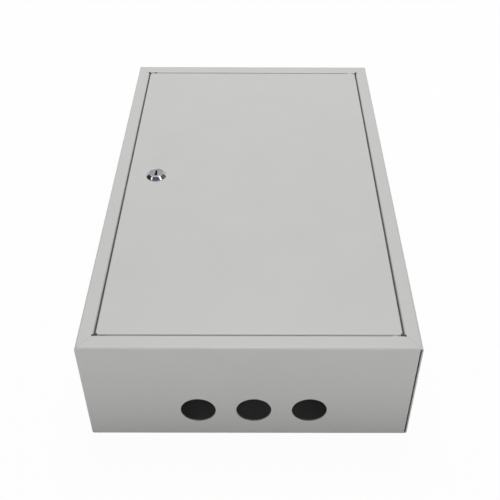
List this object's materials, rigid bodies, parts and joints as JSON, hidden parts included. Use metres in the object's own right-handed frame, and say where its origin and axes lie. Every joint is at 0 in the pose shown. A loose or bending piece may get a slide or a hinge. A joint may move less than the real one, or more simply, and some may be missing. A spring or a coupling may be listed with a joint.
{
  "type": "electrical enclosure",
  "caption": "Wall-mounted sheet-steel electrical enclosure with an inset hinged door, key cam lock, cable entries in the bottom end and a mounting plate with device rails inside.",
  "frame": {"origin": "middle of the back, on the surface that the enclosure lies on", "axes": "+Z out of the door, +X to the right of someone facing the door (hinge side), +Y up once the back is on a wall, so the cable entries face -Y"},
  "size_m": [0.3, 0.5, 0.124],
  "materials": {
    "grey_paint": "light-grey satin powder coat",
    "zinc_plate": "bright zinc plate",
    "bright_chrome": "polished chrome",
    "satin_nickel": "satin nickel",
    "white_nylon": "natural nylon",
    "rivet_aluminium": "mill",
    "black_rubber": "matt"
  },
  "bodies": {
    "body": {"body_shell": "grey_paint", "bottom_panel": "grey_paint", "top_panel": "grey_paint", "door_bumpers": "black_rubber", "plate_studs": "zinc_plate", "plate_spacers": "zinc_plate", "mounting_plate": "zinc_plate", "plate_washers": "zinc_plate", "plate_nuts": "zinc_plate", "din_rail_upper": "zinc_plate", "din_rail_middle": "zinc_plate", "din_rail_lower": "zinc_plate", "rail_screws": "zinc_plate", "body_earth_stud": "zinc_plate", "body_earth_washer": "zinc_plate", "body_earth_nut": "zinc_plate"},
    "door": {"door_panel": "grey_paint", "hinge_bush_upper": "white_nylon", "hinge_bush_lower": "white_nylon", "hinge_rivets": "rivet_aluminium", "lock_housing": "bright_chrome", "lock_nut": "zinc_plate", "door_earth_stud": "zinc_plate", "door_earth_washer": "zinc_plate", "door_earth_nut": "zinc_plate"},
    "lock": {"lock_plug": "satin_nickel", "lock_cam": "zinc_plate", "cam_washer": "zinc_plate", "cam_screw": "zinc_plate"}
  },
  "joints": [
    {"name": "door_hinge", "type": "hinge", "parent": "body", "child": "door", "pos_m": [0.1276, 0, 0.1155], "axis": [0, 1, 0], "range_deg": [0, 120]},
    {"name": "lock_turn", "type": "hinge", "parent": "door", "child": "lock", "pos_m": [-0.1041, 0.002, 0.12], "axis": [0, 0, 1], "range_deg": [0, 90]}
  ]
}
